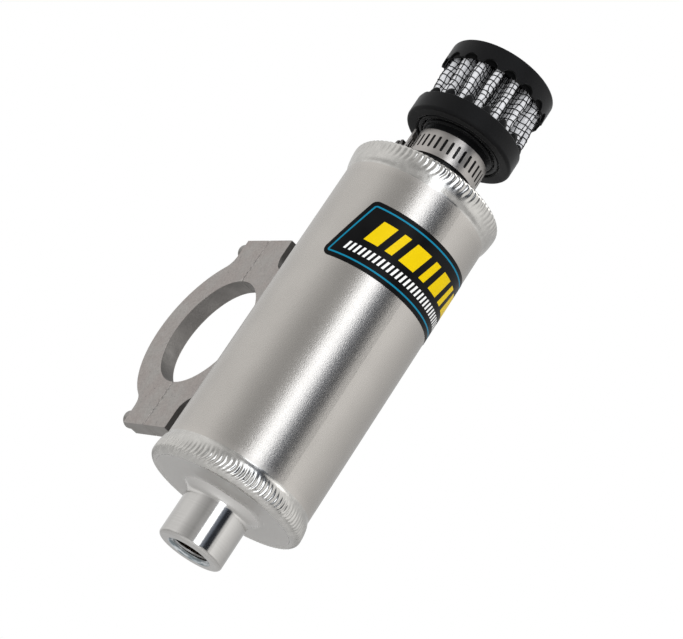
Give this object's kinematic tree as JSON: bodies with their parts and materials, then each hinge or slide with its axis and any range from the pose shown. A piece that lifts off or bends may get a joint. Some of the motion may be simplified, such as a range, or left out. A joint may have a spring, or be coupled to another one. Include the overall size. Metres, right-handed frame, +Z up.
{
  "type": "vent tank",
  "caption": "Welded cylindrical crankcase vent tank with a threaded drain boss, a pleated breather filter held by a hose clamp, and a split side clamp for a frame tube.",
  "frame": {"origin": "centre of the frame-tube clamp bore, on the middle plane of the clamp plate", "axes": "+Z up along the tank towards the breather, +Y along the clamp bore, +X from the clamp to the tank"},
  "size_m": [0.1271, 0.0532, 0.1898],
  "materials": {
    "tank_metal": "satin brushed tube",
    "turned_metal": "bright turned",
    "weld_metal": "rippled weld bead",
    "clamp_metal": "matte milled",
    "screw_steel": "plain",
    "cap_rubber": "satin moulded",
    "media_cotton": "pleated cotton gauze",
    "screen_wire": "black coated wire cloth",
    "band_steel": "bright rolled strip",
    "worm_steel": "plated, dull",
    "label_film": "printed film"
  },
  "bodies": {
    "root": {"tank_tube": "tank_metal", "bottom_cap": "turned_metal", "top_cap": "turned_metal", "bottom_weld": "weld_metal", "top_weld": "weld_metal", "clamp_base": "clamp_metal", "clamp_cap": "clamp_metal", "clamp_weld_near": "weld_metal", "clamp_weld_far": "weld_metal", "clamp_screw_lower": "screw_steel", "clamp_screw_upper": "screw_steel", "filter_base": "cap_rubber", "filter_top": "cap_rubber", "filter_media": "media_cotton", "filter_outer_screen": "screen_wire", "filter_inner_screen": "screen_wire", "hose_clamp_band": "band_steel", "hose_clamp_housing": "band_steel", "hose_clamp_screw": "worm_steel", "label": "label_film"}
  },
  "joints": []
}
